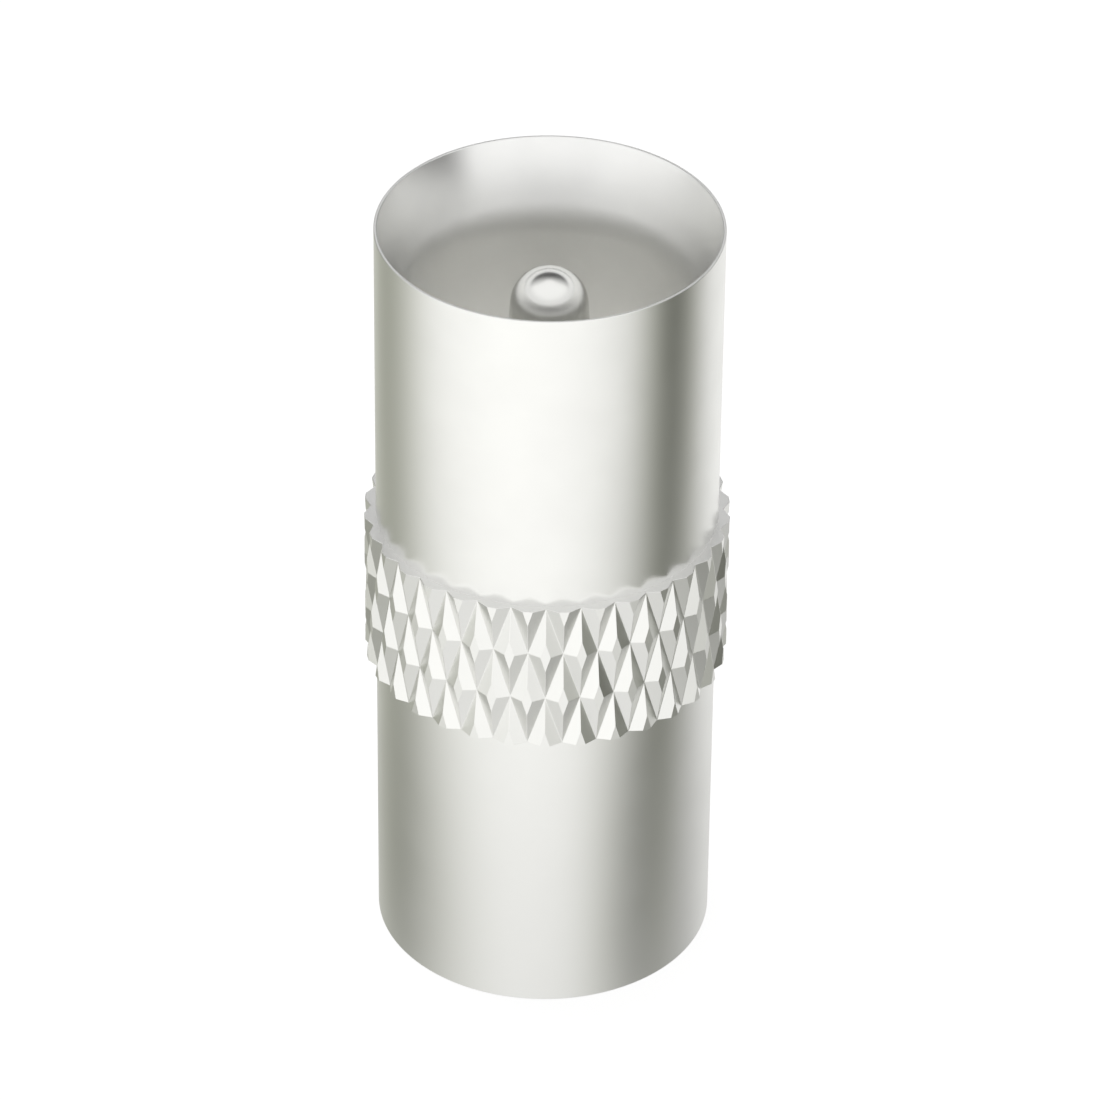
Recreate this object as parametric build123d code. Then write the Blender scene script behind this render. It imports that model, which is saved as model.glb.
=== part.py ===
"""Coaxial plug coupler: a plain push-fit plug at each end and a diamond-knurled grip band between them.

All lengths are millimetres. The coupler stands on its lower rim: Z runs up its axis and z = 0 is that rim.
Both ends are the same, so every piece is modelled for its upper half and mirrored in the middle plane.
"""

import os
from math import cos, pi, radians, sin, tan

from build123d import *

# Barrels: the two plain tube ends that push into an aerial socket
total_length = 22.8
barrel_diameter = 9.5
barrel_wall = 0.9
lip_wall = 0.08          # wall left at the rim, where the bore flares out
mouth_angle = 21         # degrees, slope of that conical mouth
mouth_blend = 2.5        # radius of the curve that leads from the cone into the bore
lip_chamfer = 0.02       # broken outer edge of the rim

# Grip band: rows of pointed diamonds with their tips turned off
band_height = 4.5
band_rise = 0.135        # from the barrel to the valleys of the knurl
knurl_depth = 0.185      # from the valleys to the flats on the diamonds
knurl_flat_width = 0.26
knurl_count = 32         # diamonds round the band
knurl_steps = 3          # row spacings in the band's height

# Inner rib that both insulators seat on
rib_bore_diameter = 6.0
rib_thickness = 1.0

# Insulating beads: a flange on the rib, a hub through it and a boss round the pin
bead_flange_thickness = 3.0
bead_boss_diameter = 4.2
bead_boss_height = 0.3
bead_lead_chamfer = 0.15

# Centre pin: round noses with a slight lead taper, a thicker shank in the beads, a collar between them
pin_diameter = 2.34
shank_diameter = 2.7
pin_setback = 1.4        # nose below the rim
pin_nose_drop = 0.1      # radius lost between the pin and its nose
pin_lead_angle = 3.5     # degrees, slope of the lead taper
collar_diameter = 3.6
collar_length = 0.8

# Radii and heights that follow from the sizes above
middle = total_length / 2
barrel_radius = barrel_diameter / 2
bore_radius = barrel_radius - barrel_wall
lip_radius = barrel_radius - lip_wall
rib_radius = rib_bore_diameter / 2
rib_top = middle + rib_thickness / 2
flange_top = rib_top + bead_flange_thickness
boss_top = flange_top + bead_boss_height
pin_radius = pin_diameter / 2
shank_radius = shank_diameter / 2
collar_radius = collar_diameter / 2
collar_top = middle + collar_length / 2
valley_radius = barrel_radius + band_rise
flat_radius = valley_radius + knurl_depth


def turned(outline):
    """Revolve a closed outline, drawn as (radius, height), about the axis."""
    return revolve(Plane.XZ * make_face(outline), Axis.Z)


def mirrored(piece):
    """The same piece at the other end of the coupler."""
    return mirror(piece, about=Plane.XY.offset(middle))


def polygon(*corners):
    """Flat face through its corners."""
    return Face(Wire.make_polygon(corners))


def knurl_band():
    """Closed solid of the grip band, diamond by diamond.

    The valleys of a knurl cross at nodes, and every second row of nodes is turned by half a diamond.
    Each diamond spans two nodes of its own row and one node of the rows above and below, and would rise
    from them to a point. The point is turned off flat, which leaves a small kite on its top.
    """
    turn = 2 * pi / knurl_count
    step = band_height / knurl_steps

    def node(row, place):
        angle = turn * (place + row / 2)
        height = middle + band_height / 2 - row * step
        return Vector(valley_radius * cos(angle), valley_radius * sin(angle), height)

    # Height of the point that a diamond would have, from the width that its flat is to have
    side_radius = valley_radius * cos(turn / 2)
    cut = knurl_flat_width / (2 * valley_radius * sin(turn / 2))
    point_radius = (flat_radius - cut * side_radius) / (1 - cut)
    cut_long = (point_radius - flat_radius) / (point_radius - valley_radius)

    faces = []
    rims = {0: [], knurl_steps: []}
    for row in range(knurl_steps + 1):
        for place in range(knurl_count):
            left = node(row, place)
            right = node(row, place + 1)
            point_angle = turn * (place + row / 2 + 0.5)
            point = Vector(point_radius * cos(point_angle), point_radius * sin(point_angle), left.Z)
            flat = [point + (left - point) * cut, point + (right - point) * cut]
            if row in rims:
                rims[row] += [left, *flat]
            if row > 0:
                above = node(row - 1, place + 1)
                flat_above = point + (above - point) * cut_long
                faces.append(polygon(left, flat[0], flat_above, above))
                faces.append(polygon(above, flat_above, flat[1], right))
                flat.insert(1, flat_above)
            if row < knurl_steps:
                below = node(row + 1, place)
                flat_below = point + (below - point) * cut_long
                faces.append(polygon(right, flat[-1], flat_below, below))
                faces.append(polygon(below, flat_below, flat[0], left))
                flat.append(flat_below)
            faces.append(polygon(*flat))
    faces += [polygon(*rim) for rim in rims.values()]
    return Solid(Shell(faces))


def make_shell():
    """Barrels, rib and grip band, turned from one bar."""
    slope = radians(mouth_angle)
    lip = (lip_radius, total_length)
    cone_radius = bore_radius + mouth_blend * (1 - cos(slope))
    cone_foot = (cone_radius, total_length - (lip_radius - cone_radius) / tan(slope))
    mouth_foot = (bore_radius, cone_foot[1] - mouth_blend * sin(slope))
    inside = Polyline((rib_radius, middle), (rib_radius, rib_top), (bore_radius, rib_top), mouth_foot)
    blend = TangentArc(mouth_foot, cone_foot, tangent=(0, 1))
    outside = Polyline(
        cone_foot, lip, (barrel_radius - lip_chamfer, total_length),
        (barrel_radius, total_length - lip_chamfer), (barrel_radius, middle), (rib_radius, middle))
    half = turned(inside + blend + outside)
    # The band's core is bored inside the barrel wall, so that the two overlap and fuse cleanly
    core = Pos(Z=middle) * Cylinder((bore_radius + barrel_radius) / 2, 2 * band_height)
    return half + mirrored(half) + (knurl_band() - core)


def make_bead():
    """Upper insulator: hub down to the middle plane, flange on the rib, boss round the pin."""
    boss_radius = bead_boss_diameter / 2
    return turned(Polyline(
        (collar_radius, middle), (rib_radius, middle), (rib_radius, rib_top),
        (bore_radius - bead_lead_chamfer, rib_top), (bore_radius, rib_top + bead_lead_chamfer),
        (bore_radius, flange_top), (boss_radius, flange_top), (boss_radius, boss_top),
        (shank_radius, boss_top), (shank_radius, collar_top), (collar_radius, collar_top), close=True))


def make_centre_pin():
    """Collar, shank, plain pin, lead taper and round nose, twice."""
    nose_radius = pin_radius - pin_nose_drop
    nose_centre = total_length - pin_setback - nose_radius
    slope = radians(pin_lead_angle)
    # The taper meets the nose where both have the same slope
    taper_top = (nose_radius * cos(slope), nose_centre + nose_radius * sin(slope))
    taper_foot = (pin_radius, taper_top[1] - (pin_radius - taper_top[0]) / tan(slope))
    sides = Polyline((0, nose_centre + nose_radius), (0, middle), (collar_radius, middle),
                     (collar_radius, collar_top), (shank_radius, collar_top), (shank_radius, boss_top),
                     (pin_radius, boss_top), taper_foot, taper_top)
    nose = CenterArc((0, nose_centre), nose_radius, pin_lead_angle, 90 - pin_lead_angle)
    half = turned(sides + nose)
    return half + mirrored(half)


upper_insulator = make_bead()
pieces = {
    "shell": make_shell(),
    "centre_pin": make_centre_pin(),
    "upper_insulator": upper_insulator,
    "lower_insulator": mirrored(upper_insulator),
}

os.makedirs("parts", exist_ok=True)
for name, piece in pieces.items():
    export_step(piece, f"parts/{name}.step")
    print(f"{name}: {piece.volume:.2f} mm3, {len(piece.faces())} faces, valid {piece.is_valid}")
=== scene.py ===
# %% [markdown]
# # A coaxial plug coupler in satin nickel
#
# The real object joins two aerial leads. It is one turned brass tube with a plug at each end, a diamond
# knurl round its middle for the fingers, and a round-nosed pin held on the axis by two plastic beads.
# Everything but the beads is plated with nickel, satin on the tube and brighter on the pin. The whole
# thing is 22.8 mm tall, and it stands on its lower rim. Z runs up the axis, and the camera looks from -Y.
#
# The CAD model gives the frame: each piece made here is worked out from the same sizes, in metres, so it
# lands where its CAD node is.

# %% Load the frame
from math import cos, pi, radians, sin, tan

import bpy
import numpy as np
from mathutils import Matrix, Vector


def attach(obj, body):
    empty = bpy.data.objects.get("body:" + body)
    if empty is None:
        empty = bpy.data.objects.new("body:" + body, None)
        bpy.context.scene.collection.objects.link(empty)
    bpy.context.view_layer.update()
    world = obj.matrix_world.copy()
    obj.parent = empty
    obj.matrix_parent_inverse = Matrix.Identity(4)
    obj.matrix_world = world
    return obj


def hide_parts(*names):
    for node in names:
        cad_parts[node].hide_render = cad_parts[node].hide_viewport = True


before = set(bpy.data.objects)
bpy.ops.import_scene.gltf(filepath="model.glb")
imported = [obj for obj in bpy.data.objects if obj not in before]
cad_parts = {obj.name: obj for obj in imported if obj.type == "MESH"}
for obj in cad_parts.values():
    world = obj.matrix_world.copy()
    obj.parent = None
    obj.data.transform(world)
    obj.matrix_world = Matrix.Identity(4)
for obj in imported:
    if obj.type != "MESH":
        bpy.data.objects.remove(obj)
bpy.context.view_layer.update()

print("nodes:", sorted(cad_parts))

# %% [markdown]
# ## The camera
#
# A small object photographed for a catalogue is taken from far away with a long lens, so that its sides
# stay nearly parallel. The camera here stands 184 mm off, looks down by 34.9 degrees and is rolled by 0.6
# degrees. These values were found by matching the rims and the knurl's corners to the picture, and the
# lens follows from the picture's width of 1100 pixels on a sensor 36 mm wide.

# %% Place the camera
pitch, yaw, roll = 0.608628, 0.000636, 0.010925     # radians
camera_place = (0, -0.144657, 0.113012)             # metres
focal_pixels, picture_pixels = 6334.33, 1100

ahead = Vector((sin(yaw) * cos(pitch), cos(yaw) * cos(pitch), -sin(pitch)))
level = ahead.cross(Vector((0, 0, 1))).normalized()
above = level.cross(ahead)
right = cos(roll) * level + sin(roll) * above
up = -sin(roll) * level + cos(roll) * above

camera_data = bpy.data.cameras.new("camera")
camera_data.sensor_width = 36
camera_data.lens = focal_pixels / picture_pixels * camera_data.sensor_width
camera_data.clip_start = 0.01
camera = bpy.data.objects.new("camera", camera_data)
camera_turn = Matrix((right, up, -ahead)).transposed().to_4x4()
camera.matrix_world = Matrix.Translation(camera_place) @ camera_turn
bpy.context.scene.collection.objects.link(camera)
bpy.context.scene.camera = camera
print("lens:", round(camera_data.lens, 1), "mm")

# %% [markdown]
# ## The sizes
#
# All lengths are written in millimetres, as on a workshop drawing, and scaled to metres when a mesh is
# made. They are the same as in the CAD source, and each piece's own sizes stand right before it. Both ends
# are alike, so heights are given for the upper half and mirrored in the middle plane.

# %% Set the scale and the middle
MM = 0.001
total_length = 22.8
middle = total_length / 2
print("the middle plane lies at a height of", middle, "mm")

# %% [markdown]
# ## Turned surfaces
#
# Tube, pin and beads all come off a lathe or out of a round mould, so each is a surface of two
# parameters: how far along the outline, and how far round the axis. Blender's Screw modifier could spin
# an outline too, but then a satin metal shows a flaw: smooth shading mixes the normals of a long wall and
# of its rounded corner, and the reflection bends far from the corner. Working the surface out with numpy
# gives the exact normal at each point, so that the reflections on the barrel stay straight.
#
# A real turned corner is never sharp. Each corner of the outline is replaced by a small parabola.

# %% Make a rounded outline
def rounded(outline, radius, steps=4):
    """Points and tangents of a closed outline with its corners rounded.

    At corner c the outline is cut back to a and b, by the radius but at most half of each side. The
    parabola (1-t)^2 a + 2t(1-t) c + t^2 b joins them, and its tangent is (1-t)(c-a) + t(b-c). Where sides
    are shorter than the radius, as along an arc, the parabolas meet and make one smooth curve. A corner on
    the axis is a pole: it stays where it is, and its tangent lies level.
    """
    corner = np.array(outline, float)
    back = np.roll(corner, 1, axis=0) - corner
    on = np.roll(corner, -1, axis=0) - corner
    back_length = np.linalg.norm(back, axis=1, keepdims=True)
    on_length = np.linalg.norm(on, axis=1, keepdims=True)
    cut = np.minimum(radius, np.minimum(back_length, on_length) / 2)
    pole = corner[:, 0] < 1e-9
    cut[pole] = 0
    a = corner + back * cut / back_length
    b = corner + on * cut / on_length
    t = np.linspace(0, 1, steps + 1)[None, :, None]
    a, b, c = a[:, None], b[:, None], corner[:, None]
    points = (1 - t) ** 2 * a + 2 * t * (1 - t) * c + t ** 2 * b
    tangents = (1 - t) * (c - a) + t * (b - c)
    tangents[pole, :, 0] = np.sign(on[pole, :1] - back[pole, :1])
    return points.reshape(-1, 2), tangents.reshape(-1, 2)


def arc(centre, radius, start, end, count):
    """Points (radius, height) on a circle: centre + radius (cos a, sin a), a from start to end degrees."""
    angle = np.radians(np.linspace(start, end, count))
    return np.column_stack((centre[0] + radius * np.cos(angle), centre[1] + radius * np.sin(angle)))


square = [(1, 0), (2, 0), (2, 1), (1, 1)]
print("a square with its corners rounded has", len(rounded(square, radius=0.1)[0]), "points")

# %% Make an object of points and faces
def new_object(name, points, faces, normals=None):
    """A mesh object in metres from points in millimetres, smooth, with given normals if there are any."""
    mesh = bpy.data.meshes.new(name)
    mesh.from_pydata((points * MM).tolist(), [], faces)
    mesh.polygons.foreach_set("use_smooth", np.full(len(mesh.polygons), normals is not None))
    if normals is not None:
        mesh.normals_split_custom_set_from_vertices(normals.tolist())
    mesh.update()
    piece = bpy.data.objects.new(name, mesh)
    bpy.context.scene.collection.objects.link(piece)
    # Volume = sum over triangles of a . (b x c) / 6, for a closed mesh whose faces all point outwards
    mesh.calc_loop_triangles()
    triangles = np.empty(3 * len(mesh.loop_triangles), dtype=np.int32)
    mesh.loop_triangles.foreach_get("vertices", triangles)
    a, b, c = points[triangles.reshape(-1, 3)].transpose(1, 0, 2)
    volume = np.einsum("ij,ij->", a, np.cross(b, c)) / 6
    size = np.ptp(points, axis=0)
    print(f"{name}: {len(mesh.polygons)} faces, {volume:.2f} mm3, size in mm {np.round(size, 2)}")
    return piece


# %% Turn an outline about the axis
def turned(name, outline, radius=0.02, round_steps=240):
    """Surface (u, v) -> (r(u) cos v, r(u) sin v, z(u)) for an outline (r, z) that runs anticlockwise.

    Seen with r to the right and z up, the outline's outward side is on its right hand, so the normal is
    the tangent (dr, dz) turned to (dz, -dr). Points on the axis are merged into one pole.
    """
    points, tangents = rounded(outline, radius)
    tangents /= np.linalg.norm(tangents, axis=1, keepdims=True)
    v = np.arange(round_steps) * 2 * pi / round_steps
    across, along = points[:, :1], points[:, 1:]
    grid = np.stack((across * np.cos(v), across * np.sin(v), along + 0 * v), axis=-1)
    across, along = tangents[:, 1:], -tangents[:, :1]
    normal = np.stack((across * np.cos(v), across * np.sin(v), along + 0 * v), axis=-1)
    # Four neighbours make a face, and at a pole three do
    here = np.arange(grid[..., 0].size).reshape(len(points), round_steps)
    here_on, there = np.roll(here, -1, axis=1), np.roll(here, -1, axis=0)
    there_on = np.roll(there, -1, axis=1)
    pole = points[:, 0] < 1e-6
    next_pole = np.roll(pole, -1)
    walls = np.stack((here, here_on, there_on, there), axis=-1)[~pole & ~next_pole].reshape(-1, 4)
    ending, starting = ~pole & next_pole, pole & ~next_pole
    tips = np.stack((here, here_on, there[:, :1] + 0 * here), axis=-1)[ending].reshape(-1, 3)
    roots = np.stack((here[:, :1] + 0 * here, there_on, there), axis=-1)[starting].reshape(-1, 3)
    used = np.unique(np.concatenate((walls.ravel(), tips.ravel(), roots.ravel())))
    faces = [face for part in (walls, tips, roots) for face in np.searchsorted(used, part).tolist()]
    return new_object(name, grid.reshape(-1, 3)[used], faces, normal.reshape(-1, 3)[used])


# %% [markdown]
# ## The tube
#
# The tube is one outline, run once round its wall: in over the rim, down the bore past the rib, and out
# over the lower rim. Its last side is the barrel. The wall thins to a fine lip at each rim, because the
# bore opens out there in a cone, with a small curve at its foot. The lip is what the picture shows as one
# thin bright line.

# %% Size the tube
barrel_radius = 4.75
bore_radius = 3.85
lip_radius = 4.67               # inside the rim, where the bore has flared out
mouth_angle = 21                # degrees between the flare and the bore
mouth_blend = 2.5               # radius of the curve that joins them
rib_radius = 3.0
rib_thickness = 1.0
rib_top = middle + rib_thickness / 2
print("tube wall:", round(barrel_radius - bore_radius, 2), "mm, thinned at the lip to",
      round(barrel_radius - lip_radius, 2), "mm")

# %% Make the tube
def mirrored(outline):
    """The same points below the middle plane, in the opposite order."""
    below = np.array(outline, float)[::-1].copy()
    below[:, 1] = total_length - below[:, 1]
    return below


# The mouth leaves the bore in an arc and goes on as a cone to the lip
slope = radians(mouth_angle)
cone_radius = bore_radius + mouth_blend * (1 - cos(slope))
cone_foot = total_length - (lip_radius - cone_radius) / tan(slope)
blend_foot = cone_foot - mouth_blend * sin(slope)
blend = arc((bore_radius + mouth_blend, blend_foot), mouth_blend, 180, 180 - mouth_angle, 25)
rim = np.array([(barrel_radius, total_length), (lip_radius, total_length)])
upper_half = np.vstack((rim, blend[::-1], [(bore_radius, rib_top), (rib_radius, rib_top)]))
tube = turned("tube", np.vstack((upper_half, mirrored(upper_half))), radius=0.03)
print("the mouth is", round(total_length - blend_foot, 2), "mm deep")

# %% [markdown]
# ## The diamond knurl
#
# Two wheels rolled over the band press crossing grooves into it, one set leaning left and one right. What
# stays between them is a diamond that rises to a small flat. The flat, crisp facets are what makes the
# band sparkle, so they are built as true planes and not as a bump. Each diamond spans two valley nodes of
# its own row and one node above and below. The point it would rise to is cut off flat.

# %% Size the knurl
valley_radius = 4.885           # of the crossings of its grooves
flat_radius = 5.07              # of the flats on its diamonds
flat_width = 0.26
band_height = 4.5
knurl_count = 32                # diamonds round the band
knurl_steps = 3                 # spacings between its rows
print("diamonds:", round(2 * pi * valley_radius / knurl_count, 2), "mm wide and",
      2 * band_height / knurl_steps, "mm tall")

# %% Work out the knurl's corners
turn = 2 * pi / knurl_count
step = band_height / knurl_steps
place = np.arange(knurl_count)


def node(row, place):
    """Valley crossings: angle = turn (place + row / 2), height = top of the band - row step."""
    angle = turn * (place + row / 2)
    height = np.full(np.shape(place), middle + band_height / 2 - row * step)
    return np.stack((valley_radius * np.cos(angle), valley_radius * np.sin(angle), height), axis=-1)


side_radius = valley_radius * cos(turn / 2)
cut = flat_width / (2 * valley_radius * sin(turn / 2))
point_radius = (flat_radius - cut * side_radius) / (1 - cut)
cut_long = (point_radius - flat_radius) / (point_radius - valley_radius)
print("a diamond would rise to", round(point_radius, 3), "mm and is cut off at", flat_radius, "mm")


def towards(point, corner, share):
    """The corner of a diamond's flat: point + share (corner - point)."""
    return point + (corner - point) * share


# %% Make the facets
def face_block(*corners):
    """Corner arrays of the same length, stacked into one block of polygons (face, corner, xyz)."""
    return np.stack(corners, axis=1)


blocks = []
ring_outline = {}
for row in range(knurl_steps + 1):
    left, right_node = node(row, place), node(row, place + 1)
    angle = turn * (place + row / 2 + 0.5)
    point = np.stack((point_radius * np.cos(angle), point_radius * np.sin(angle), left[:, 2]), axis=-1)
    flat = [towards(point, left, cut), towards(point, right_node, cut)]
    ring_outline[row] = np.stack((left, flat[0], flat[1]), axis=1).reshape(-1, 3)
    if row > 0:
        high = node(row - 1, place + 1)
        flat_high = towards(point, high, cut_long)
        blocks.append(face_block(left, flat[0], flat_high, high))
        blocks.append(face_block(high, flat_high, flat[1], right_node))
        flat.insert(1, flat_high)
    if row < knurl_steps:
        low = node(row + 1, place)
        flat_low = towards(point, low, cut_long)
        blocks.append(face_block(right_node, flat[-1], flat_low, low))
        blocks.append(face_block(low, flat_low, flat[0], left))
        flat.append(flat_low)
    # Known fault: the corners of these flats run clockwise seen from outside, so the flats point inwards,
    # and the volume printed for the band is 37.8 mm3 where it should be 75.3. The order flat[::-1] mends it.
    blocks.append(face_block(*flat))
print(sum(len(block) for block in blocks), "facets on the diamonds")

# %% Close the band inside the tube's wall
# The end faces reach into the wall, and a sleeve in it joins them
sleeve_radius = 4.4
for row in (0, knurl_steps):
    outer = ring_outline[row]
    inner = outer * (sleeve_radius / np.linalg.norm(outer[:, :2], axis=1, keepdims=True))
    inner[:, 2] = outer[:, 2]
    ends = (inner, outer, np.roll(outer, -1, axis=0), np.roll(inner, -1, axis=0))
    blocks.append(face_block(*(ends if row == 0 else ends[::-1])))
    ring_outline[row] = inner
# The lower end's points are half a diamond further round than the upper end's, and join the same way
upper_ring, lower_ring = ring_outline[0], ring_outline[knurl_steps]
shift = int(np.argmin(np.linalg.norm((lower_ring - upper_ring[0])[:, :2], axis=1)))
lower_ring = np.roll(lower_ring, -shift, axis=0)
upper_on, lower_on = np.roll(upper_ring, -1, axis=0), np.roll(lower_ring, -1, axis=0)
blocks.append(face_block(upper_ring, upper_on, lower_on, lower_ring))
print("sleeve:", len(upper_ring), "panels at a radius of", sleeve_radius, "mm")

# %% Merge the corners that facets share
corners = np.concatenate([block.reshape(-1, 3) for block in blocks])
unique, index = np.unique(np.round(corners, 6), axis=0, return_inverse=True)
index = index.ravel().tolist()
faces, at = [], 0
for block in blocks:
    count, sides = block.shape[:2]
    faces += [index[at + sides * k:at + sides * (k + 1)] for k in range(count)]
    at += count * sides
band = new_object("knurled_band", unique, faces)

# %% Give the knurl its thin edges
edge_width = 0.008
least_fold = 8                  # degrees between two facets that get an edge
edge = band.modifiers.new("edge", "BEVEL")
edge.width = edge_width * MM
edge.segments = 1
edge.limit_method = "ANGLE"
edge.angle_limit = radians(least_fold)
print("edges:", edge_width, "mm, where facets meet at more than", least_fold, "degrees")

# %% [markdown]
# ## The pin and the beads
#
# The pin is turned too: a round nose, a slight taper, a plain shaft, and a thicker shank and collar where
# the beads hold it. A bead is a moulded disc with a boss round the pin. It sits on the rib and fills the
# bore, so it is what one sees at the bottom of each socket.

# %% Size the beads and the pin
bead_flange_thickness = 3.0
flange_top = rib_top + bead_flange_thickness
bead_boss_height = 0.3
boss_radius = 2.1
boss_top = flange_top + bead_boss_height
bead_chamfer = 0.15
pin_radius = 1.17
pin_setback = 1.4               # from the rim down to the nose
taper_angle = 3.5               # degrees, between the pin and its nose
nose_radius = 1.07
nose_centre = total_length - pin_setback - nose_radius
shank_radius = 1.35
collar_radius = 1.8
collar_length = 0.8
collar_top = middle + collar_length / 2
print("below the rim the nose begins at", pin_setback, "mm, and the bead at",
      round(total_length - boss_top, 2), "mm")

# %% Turn the pin
taper = radians(taper_angle)
taper_rise = (pin_radius - nose_radius * cos(taper)) / tan(taper)
taper_foot = (pin_radius, nose_centre + nose_radius * sin(taper) - taper_rise)
nose = arc((0, nose_centre), nose_radius, taper_angle, 90, 46)
nose[-1, 0] = 0                 # exactly on the axis, where the cosine leaves a trace
pin_half = np.vstack(([(collar_radius, collar_top), (shank_radius, collar_top), (shank_radius, boss_top),
                       (pin_radius, boss_top), taper_foot], nose))
pin = turned("pin", np.vstack((pin_half, mirrored(pin_half))), radius=0.02, round_steps=120)

# %% Mould the beads
bead_outline = np.array([
    (collar_radius, middle), (rib_radius, middle), (rib_radius, rib_top),
    (bore_radius - bead_chamfer, rib_top), (bore_radius, rib_top + bead_chamfer),
    (bore_radius, flange_top), (boss_radius, flange_top), (boss_radius, boss_top),
    (shank_radius, boss_top), (shank_radius, collar_top), (collar_radius, collar_top)])
upper_bead = turned("upper_bead", bead_outline, radius=0.04, round_steps=160)
lower_bead = turned("lower_bead", mirrored(bead_outline), radius=0.04, round_steps=160)

# %% [markdown]
# ## Finishes
#
# A finish is a small tree of nodes. Colours are written as sRGB hex values, the way a paint card gives
# them, and turned to the linear values that light is reckoned in. Patterns are sized in real millimetres
# on Object coordinates, so they stay put when the object or the camera moves.

# %% Read a colour
def linear(hex_colour):
    """sRGB hex to linear RGBA: c / 12.92 when small, otherwise ((c + 0.055) / 1.055) ^ 2.4."""
    srgb = np.array([int(hex_colour[k:k + 2], 16) for k in (1, 3, 5)]) / 255
    value = np.where(srgb <= 0.04045, srgb / 12.92, ((srgb + 0.055) / 1.055) ** 2.4)
    return (*value.tolist(), 1.0)


print("the grey #808080 is", round(linear("#808080")[0], 3), "in linear light")

# %% Add nodes and materials
def add(tree, kind, settings=None, stops=(), **inputs):
    """Add a node with its properties, a ramp's stops, and its inputs, which are set or linked.

    An input is named with _ for a space, or by its number, as in _0. A stop is a place and a grey level,
    both from 0 to 1, and the ramp runs softly from one to the next.
    """
    item = tree.nodes.new(kind)
    for key, value in (settings or {}).items():
        setattr(item, key, value)
    for key, value in inputs.items():
        socket = item.inputs[int(key[1:])] if key[1:].isdigit() else item.inputs[key.replace("_", " ")]
        if isinstance(value, bpy.types.NodeSocket):
            tree.links.new(value, socket)
        else:
            socket.default_value = value
    if stops:
        ramp = item.color_ramp
        ramp.interpolation = "EASE"
        while len(ramp.elements) < len(stops):
            ramp.elements.new(1.0)
        for element, (position, level) in zip(ramp.elements, stops):
            element.position = position
            element.color = (level, level, level, 1.0)
    return item


def new_material(name):
    """An empty node material, its tree and its output."""
    material = bpy.data.materials.new(name)
    material.use_nodes = True
    material.node_tree.nodes.clear()
    return material, material.node_tree, material.node_tree.nodes.new("ShaderNodeOutputMaterial")


# %% [markdown]
# ## Satin nickel
#
# The brass is plated with nickel from a bath that leaves it satin: seen very closely the plating is finely
# pitted, and the pits blur what it mirrors. They are too small to draw as a bump, so they become a
# roughness of about a third. What the eye gets is a warm pale grey with long soft reflections. Tone and
# roughness waver a little over patches of about a millimetre and a half, as on any plated bar.
#
# Down the bore the metal is duller. A plating bath throws less into a hole, and nothing polishes it there.
# How deep a point lies follows from its height, and whether it is inside from its distance to the axis,
# so no mask has to be painted. The pin is polished finer than the tube, and mirrors more sharply.

# %% Work out how dull the bore is
lip_roughness, bore_roughness = 0.29, 0.50
dull_from, dull_to = 0.4, 3.0           # mm below the rim
inside_radius = lip_radius + 0.01       # what lies nearer to the axis is the inside


def duller_down_the_bore(tree, place_on, roughness):
    """The tube's own roughness outside, and inside a smooth rise with the depth below the nearer rim."""
    height = add(tree, "ShaderNodeSeparateXYZ", Vector=place_on).outputs["Z"]
    off_middle = add(tree, "ShaderNodeMath", {"operation": "SUBTRACT"}, _0=height, _1=middle * MM)
    off_middle = add(tree, "ShaderNodeMath", {"operation": "ABSOLUTE"}, _0=off_middle.outputs[0])
    inner = add(tree, "ShaderNodeMapRange", {"interpolation_type": "SMOOTHSTEP"},
                Value=off_middle.outputs[0], From_Min=(middle - dull_to) * MM,
                From_Max=(middle - dull_from) * MM, To_Min=bore_roughness, To_Max=lip_roughness)
    level_place = add(tree, "ShaderNodeVectorMath", {"operation": "MULTIPLY"}, _0=place_on, _1=(1, 1, 0))
    off_axis = add(tree, "ShaderNodeVectorMath", {"operation": "LENGTH"}, _0=level_place.outputs[0])
    inside = add(tree, "ShaderNodeMath", {"operation": "LESS_THAN"}, _0=off_axis.outputs["Value"],
                 _1=inside_radius * MM)
    return add(tree, "ShaderNodeMix", {"data_type": "FLOAT"}, _0=inside.outputs[0], _2=roughness,
               _3=inner.outputs[0]).outputs[0]


print("roughness in the mouth:", lip_roughness, "at the lip and", bore_roughness, "below", dull_to, "mm")

# %% Plate the tube, the band and the pin
nickel_patch = 1.4                      # mm across
mottle = 0.01                           # how far the roughness strays from its mean


def satin_nickel(name, light, deep, roughness, bored=False):
    """Nickel between a light and a deep tone, in soft patches, with its roughness wavering too."""
    material, tree, output = new_material(name)
    place_on = add(tree, "ShaderNodeTexCoord").outputs["Object"]
    cloud = add(tree, "ShaderNodeTexNoise", Vector=place_on, Scale=1 / (nickel_patch * MM), Detail=3.0,
                Roughness=0.55).outputs[0]
    tone = add(tree, "ShaderNodeMix", {"data_type": "RGBA"}, _0=cloud, _6=linear(light), _7=linear(deep))
    level = duller_down_the_bore(tree, place_on, roughness) if bored else roughness
    waver = add(tree, "ShaderNodeMapRange", Value=cloud, From_Min=0.3, From_Max=0.7, To_Min=-mottle,
                To_Max=mottle)
    rough = add(tree, "ShaderNodeMath", {"operation": "ADD"}, _0=waver.outputs[0], _1=level)
    metal = add(tree, "ShaderNodeBsdfPrincipled", Base_Color=tone.outputs[2], Metallic=1.0,
                Roughness=rough.outputs[0])
    tree.links.new(metal.outputs[0], output.inputs["Surface"])
    print(f"{name}: roughness {roughness}, {len(tree.nodes)} nodes")
    return material


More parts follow.
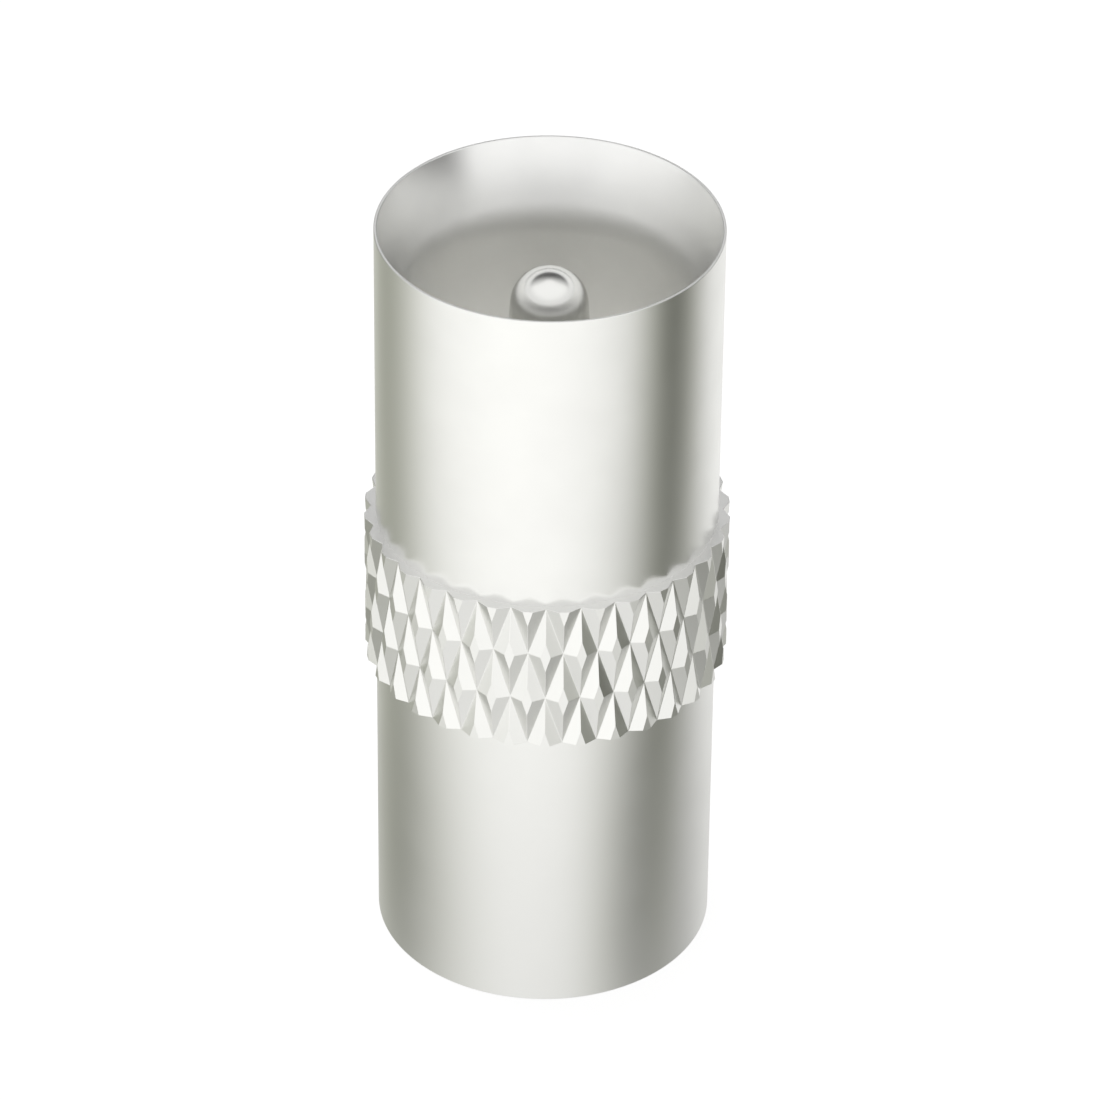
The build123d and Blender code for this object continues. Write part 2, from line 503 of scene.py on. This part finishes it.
tube_finish = satin_nickel("satin_nickel_on_turned_tube", "#f2f2f0", "#eeeeec", 0.33, bored=True)
band_finish = satin_nickel("satin_nickel_on_rolled_knurl", "#f2f2f0", "#eeeeec", 0.33)
pin_finish = satin_nickel("polished_nickel_on_turned_pin", "#e9e9e6", "#e4e4e1", 0.20)

# %% [markdown]
# ## Natural polyethylene
#
# The beads are moulded from polyethylene without any dye. It is milky white with a soft, waxy shine, and
# slightly cloudy because it cools unevenly in the mould. Its index of refraction is 1.51.

# %% Mould the beads' finish
bead_cloud = 1.1                        # mm across
bead_finish, tree, output = new_material("natural_polyethylene_moulded")
place_on = add(tree, "ShaderNodeTexCoord").outputs["Object"]
cloud = add(tree, "ShaderNodeTexNoise", Vector=place_on, Scale=1 / (bead_cloud * MM), Detail=2.0)
milk = add(tree, "ShaderNodeMix", {"data_type": "RGBA"}, _0=cloud.outputs[0], _6=linear("#f2f1ee"),
           _7=linear("#e9e8e3"))
body = add(tree, "ShaderNodeBsdfPrincipled", Base_Color=milk.outputs[2], Roughness=0.45, IOR=1.51)
tree.links.new(body.outputs[0], output.inputs["Surface"])
print("bead finish:", len(tree.nodes), "nodes")

# %% Dress the pieces and tie them to the frame
for piece, finish, cad_node, slot in (
        (tube, tube_finish, "shell", "nickel_plated_shell"),
        (band, band_finish, "shell", "nickel_plated_shell"),
        (pin, pin_finish, "centre_pin", "nickel_plated_pin"),
        (upper_bead, bead_finish, "upper_insulator", "insulator_polymer"),
        (lower_bead, bead_finish, "lower_insulator", "insulator_polymer")):
    piece.data.materials.append(finish)
    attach(piece, "root")
    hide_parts(cad_node)
    print(f"{piece.name} stands for {cad_node} in {finish.name}")

# %% [markdown]
# ## Floor and backdrop
#
# The part stands on a plain white floor before a plain white backdrop. To the camera the backdrop is
# exactly white, through Light Path. The floor keeps a share of its matt surface, and with it the part's
# faint shadow. Metal doesn't see this floor, but the glowing board below it, which has light and shade
# painted into its glow.

# %% Lay the floor
def plate(name, half_width, height):
    """A level square of the given half width, at the given height, both in metres."""
    x, y = half_width * np.array([(-1, -1), (1, -1), (1, 1), (-1, 1)]).T
    mesh = bpy.data.meshes.new(name)
    mesh.from_pydata(np.column_stack((x, y, np.full(4, height))).tolist(), [], [(0, 1, 2, 3)])
    piece = bpy.data.objects.new(name, mesh)
    bpy.context.scene.collection.objects.link(piece)
    print(f"{name}: {2 * half_width} m wide, at {height / MM:.2f} mm")
    return piece


white_share = 0.85                      # of what the camera sees; the rest is the matt floor
white_strength = 1.05                   # a little over 1, to make up for the matt share
floor = plate("floor", 1.0, -0.02 * MM)
floor.visible_glossy = False
floor_finish, tree, output = new_material("white_studio_floor")
path = add(tree, "ShaderNodeLightPath")
seen = add(tree, "ShaderNodeMath", {"operation": "MAXIMUM"}, _0=path.outputs["Is Camera Ray"],
           _1=path.outputs["Is Transmission Ray"])
share = add(tree, "ShaderNodeMath", {"operation": "MULTIPLY"}, _0=seen.outputs[0], _1=white_share)
matt = add(tree, "ShaderNodeBsdfDiffuse", Color=linear("#f2f2f0"))
white = add(tree, "ShaderNodeEmission", Strength=white_strength)
surface = add(tree, "ShaderNodeMixShader", _0=share.outputs[0], _1=matt.outputs[0], _2=white.outputs[0])
tree.links.new(surface.outputs[0], output.inputs["Surface"])
floor.data.materials.append(floor_finish)

# %% [markdown]
# ## What the metal mirrors from below
#
# Satin metal shows a blurred picture of what stands round it, so the look of this part is made by its
# surroundings. The camera looks down by 35 degrees, so what the upright barrel mirrors lies below the
# horizon: a glowing table whose light and shade are painted into its glow. A painted shadow darkens it close
# to the part's foot, it is painted brightest on the side that the camera stands on, and two dark bands of
# painted shade run outwards over it, one on the right and one behind on the left. They are the grey bands
# that run up the barrel. Near the part both painted bands lean towards the front and are wider, so the
# bands on the barrel lean too, most of all on the lower barrel.
#
# The bands shift between the lower and the upper barrel as the picture of a thing 29 mm below the floor
# would. So the table is a glowing board at that depth, which only mirror rays see, and it lights nothing.

# %% Set the board's levels
def bearing(degrees):
    """A level direction, (sin a, -cos a, 0): 0 degrees is the camera's side, and 90 is its right."""
    return sin(radians(degrees)), -cos(radians(degrees)), 0.0


board_depth = 29.25                 # mm below the part's foot
board_power = 1.34
board_reach = 160.0                 # mm from the axis, where the run of levels below ends
# The low levels near the axis are a painted shadow round the part's foot
board_levels = ((0.20, 0.66), (0.29, 0.62), (0.37, 0.88), (0.43, 0.955), (0.49, 0.98), (0.625, 0.92),
                (0.97, 0.85))
brightest = bearing(-21.2)
least_share = 0.53                  # of the glow, on the side away from the brightest
extra_behind = 0.41                 # glow added right behind the part
behind_from = 0.2                   # cosine of the angle from there, at which that glow begins
near_from, near_to = 44.0, 75.0     # mm from the axis: nearness falls from 1 to 0 between them
# For each band of painted shade: bearing of its far end, how far its near end leans from that, half its
# angle far off, what it gains near by, its depth, and where it begins and is full, in degrees and mm
painted_shade_bands = ((87.0, -27.0, 38.0, 14.0, 0.94, 35.0, 42.0), (-129.0, 26.0, 58.0, 32.0, 0.67, 33.0, 40.0))
# The glow is white, tinted olive where its painted shade is deep
board_colour, painted_shade_tint = "#fffffd", "#fbffe4"
print("the board runs to", board_reach, "mm, with gaps towards", [gap[0] for gap in painted_shade_bands], "degrees")

# %% Make the board glow
board = plate("light_board", 3.0, -board_depth * MM)
board.visible_camera = board.visible_diffuse = board.visible_shadow = False
board_finish, tree, output = new_material("glowing_board_with_painted_shade")
spot = add(tree, "ShaderNodeTexCoord").outputs["Object"]
level_spot = add(tree, "ShaderNodeVectorMath", {"operation": "MULTIPLY"}, _0=spot, _1=(1, 1, 0)).outputs[0]
reach = add(tree, "ShaderNodeVectorMath", {"operation": "LENGTH"}, _0=level_spot).outputs["Value"]
far = add(tree, "ShaderNodeMath", {"operation": "DIVIDE"}, _0=reach, _1=board_reach * MM)
run = add(tree, "ShaderNodeValToRGB", stops=board_levels, Fac=far.outputs[0])
glow = add(tree, "ShaderNodeMath", {"operation": "MULTIPLY"}, _0=run.outputs[0], _1=board_power)
# Painted light: turned away from the brightest bearing, the glow falls to its least share
heading = add(tree, "ShaderNodeVectorMath", {"operation": "NORMALIZE"}, _0=level_spot).outputs[0]
front = add(tree, "ShaderNodeVectorMath", {"operation": "DOT_PRODUCT"}, _0=heading, _1=brightest)
front = add(tree, "ShaderNodeMapRange", Value=front.outputs["Value"], From_Min=-1.0, From_Max=1.0,
            To_Min=least_share, To_Max=1.0)
glow = add(tree, "ShaderNodeMath", {"operation": "MULTIPLY"}, _0=glow.outputs[0], _1=front.outputs[0])
behind = add(tree, "ShaderNodeVectorMath", {"operation": "DOT_PRODUCT"}, _0=heading, _1=bearing(180))
behind = add(tree, "ShaderNodeMapRange", {"interpolation_type": "SMOOTHSTEP"},
             Value=behind.outputs["Value"], From_Min=behind_from, From_Max=1.0, To_Min=0.0,
             To_Max=extra_behind)
glow = add(tree, "ShaderNodeMath", {"operation": "ADD"}, _0=glow.outputs[0], _1=behind.outputs[0])
print("glow:", board_power, "times its levels, and", least_share, "of that on the far side")

# %% Paint the two dark bands of shade into it
# painted shade: dark = depth (1 - |swing from the band's middle| / half its angle), eased at both ends
near = add(tree, "ShaderNodeMapRange", {"interpolation_type": "SMOOTHSTEP"}, Value=reach,
           From_Min=near_from * MM, From_Max=near_to * MM, To_Min=1.0, To_Max=0.0).outputs[0]
clear = 1.0
for turned_to, lean, half_angle, spread, depth, begins, full in painted_shade_bands:
    along = add(tree, "ShaderNodeVectorMath", {"operation": "DOT_PRODUCT"}, _0=spot, _1=bearing(turned_to))
    beside = add(tree, "ShaderNodeVectorMath", {"operation": "DOT_PRODUCT"}, _0=spot,
                 _1=bearing(turned_to + 90))
    swing = add(tree, "ShaderNodeMath", {"operation": "ARCTAN2"}, _0=beside.outputs["Value"],
                _1=along.outputs["Value"])
    swing = add(tree, "ShaderNodeMath", {"operation": "MULTIPLY_ADD"}, _0=near, _1=radians(-lean),
                _2=swing.outputs[0])
    swing = add(tree, "ShaderNodeMath", {"operation": "ABSOLUTE"}, _0=swing.outputs[0])
    width = add(tree, "ShaderNodeMath", {"operation": "MULTIPLY_ADD"}, _0=near, _1=radians(spread),
                _2=radians(half_angle))
    swing = add(tree, "ShaderNodeMath", {"operation": "DIVIDE"}, _0=swing.outputs[0], _1=width.outputs[0])
    dark = add(tree, "ShaderNodeMapRange", {"interpolation_type": "SMOOTHSTEP"}, Value=swing.outputs[0],
               From_Min=0.0, From_Max=1.0, To_Min=1.0, To_Max=0.0)
    begun = add(tree, "ShaderNodeMapRange", {"interpolation_type": "SMOOTHSTEP"}, Value=reach,
                From_Min=begins * MM, From_Max=full * MM, To_Min=0.0, To_Max=depth)
    dark = add(tree, "ShaderNodeMath", {"operation": "MULTIPLY"}, _0=dark.outputs[0], _1=begun.outputs[0])
    shade = add(tree, "ShaderNodeMath", {"operation": "SUBTRACT"}, _0=1.0, _1=dark.outputs[0])
    clear = add(tree, "ShaderNodeMath", {"operation": "MULTIPLY"}, _0=clear, _1=shade.outputs[0]).outputs[0]
glow = add(tree, "ShaderNodeMath", {"operation": "MULTIPLY"}, _0=glow.outputs[0], _1=clear)
# The deeper the painted shade, the more its glow is tinted olive-grey
colour = add(tree, "ShaderNodeMix", {"data_type": "RGBA"}, _0=clear, _6=linear(painted_shade_tint),
             _7=linear(board_colour))
lit = add(tree, "ShaderNodeEmission", Color=colour.outputs[2], Strength=glow.outputs[0])
tree.links.new(lit.outputs[0], output.inputs["Surface"])
board.data.materials.append(board_finish)
print("light board:", len(tree.nodes), "nodes")

# %% [markdown]
# ## What the metal mirrors from above
#
# The upper facets of the diamonds, the pin's nose and the inside of the mouth look up. On the camera's side
# they see broad soft lamps. Behind the part they see a row of lamps with the dark room under it and over
# it, and the room over it is the dark arc on the nose. The two gaps go on above the horizon and fade out
# with height. Levels are set over the sine of the height above the horizon, which is the Z of a direction.

# %% Set the sky's levels
front_levels = ((0.0, 1.0), (0.2, 1.0), (0.35, 0.75), (0.6, 0.75), (0.8, 0.9))
back_levels = ((0.0, 0.05), (0.30, 0.10), (0.44, 0.8), (0.60, 0.8), (0.68, 0.08), (0.92, 0.08), (0.98, 0.9))
sky_power = 1.25
back_until, front_from = -0.55, -0.1    # how far a direction points to the camera's side, from -1 to 1
# Bearing in degrees, angle from it where the gap begins and where it is full, and its depth
sky_gaps = ((85.0, 35.0, 14.0, 0.98), (-124.8, 37.0, 0.0, 0.5))
gaps_fade_from, gaps_end_at = 0.2, 0.5  # sine of the height above the horizon
print("sky:", len(front_levels), "levels in front,", len(back_levels), "behind, and", len(sky_gaps), "gaps")

# %% Hang the sky
world = bpy.data.worlds.new("studio")
bpy.context.scene.world = world
world.use_nodes = True
tree = world.node_tree
tree.nodes.clear()
view = add(tree, "ShaderNodeTexCoord").outputs["Generated"]
height = add(tree, "ShaderNodeSeparateXYZ", Vector=view).outputs["Z"]
front_sky = add(tree, "ShaderNodeValToRGB", stops=front_levels, Fac=height)
back_sky = add(tree, "ShaderNodeValToRGB", stops=back_levels, Fac=height)
facing = add(tree, "ShaderNodeVectorMath", {"operation": "DOT_PRODUCT"}, _0=view, _1=bearing(0))
facing = add(tree, "ShaderNodeMapRange", Value=facing.outputs["Value"], From_Min=back_until,
             From_Max=front_from)
sky = add(tree, "ShaderNodeMix", {"data_type": "RGBA"}, _0=facing.outputs[0], _6=back_sky.outputs[0],
          _7=front_sky.outputs[0])
level_view = add(tree, "ShaderNodeVectorMath", {"operation": "MULTIPLY"}, _0=view, _1=(1, 1, 0))
level_view = add(tree, "ShaderNodeVectorMath", {"operation": "NORMALIZE"}, _0=level_view.outputs[0])
low = add(tree, "ShaderNodeMapRange", {"interpolation_type": "SMOOTHSTEP"}, Value=height,
          From_Min=gaps_fade_from, From_Max=gaps_end_at, To_Min=1.0, To_Max=0.0)
power = sky_power
for turned_to, begins, full, depth in sky_gaps:
    gap = add(tree, "ShaderNodeVectorMath", {"operation": "DOT_PRODUCT"}, _0=level_view.outputs[0],
              _1=bearing(turned_to))
    gap = add(tree, "ShaderNodeMapRange", {"interpolation_type": "SMOOTHSTEP"}, Value=gap.outputs["Value"],
              From_Min=cos(radians(begins)), From_Max=cos(radians(full)), To_Min=0.0, To_Max=depth)
    gap = add(tree, "ShaderNodeMath", {"operation": "MULTIPLY"}, _0=gap.outputs[0], _1=low.outputs[0])
    shade = add(tree, "ShaderNodeMath", {"operation": "SUBTRACT"}, _0=1.0, _1=gap.outputs[0])
    power = add(tree, "ShaderNodeMath", {"operation": "MULTIPLY"}, _0=power, _1=shade.outputs[0]).outputs[0]
print("sky:", len(tree.nodes), "nodes")

# %% Tell each kind of ray what it sees
plain_light = 0.42                      # on matt surfaces, from all sides
path = add(tree, "ShaderNodeLightPath")
seen = add(tree, "ShaderNodeMath", {"operation": "MAXIMUM"}, _0=path.outputs["Is Camera Ray"],
           _1=path.outputs["Is Transmission Ray"])
plain = add(tree, "ShaderNodeBackground", Strength=plain_light)
backdrop = add(tree, "ShaderNodeBackground", Color=linear("#ffffff"), Strength=1.0)
mirrored_sky = add(tree, "ShaderNodeBackground", Color=sky.outputs[2], Strength=power)
surface = add(tree, "ShaderNodeMixShader", _0=path.outputs["Is Glossy Ray"], _1=plain.outputs[0],
              _2=mirrored_sky.outputs[0])
surface = add(tree, "ShaderNodeMixShader", _0=seen.outputs[0], _1=surface.outputs[0],
              _2=backdrop.outputs[0])
add(tree, "ShaderNodeOutputWorld", Surface=surface.outputs[0])
bpy.context.scene.view_settings.view_transform = "Standard"
print("world:", len(tree.nodes), "nodes, and", plain_light, "on what is matt")

# %% [markdown]
# ## The lamp
#
# One square softbox hangs over the part, a little behind it. It gives the beads their light and the floor
# its soft shadow. The metal doesn't mirror it, because the sky above already shows its lamps.

# %% Hang the softbox
lamp_data = bpy.data.lights.new("top_softbox", "AREA")
lamp_data.size = 0.2
lamp_data.energy = 0.82
lamp = bpy.data.objects.new("top_softbox", lamp_data)
lamp.location = (-0.01, 0.03, 0.28)
lamp.rotation_euler = (-lamp.location).to_track_quat("-Z", "Y").to_euler()
lamp.visible_glossy = False
bpy.context.scene.collection.objects.link(lamp)
print("softbox:", round(lamp_data.energy, 2), "W,", round(lamp.location.length, 3), "m away")
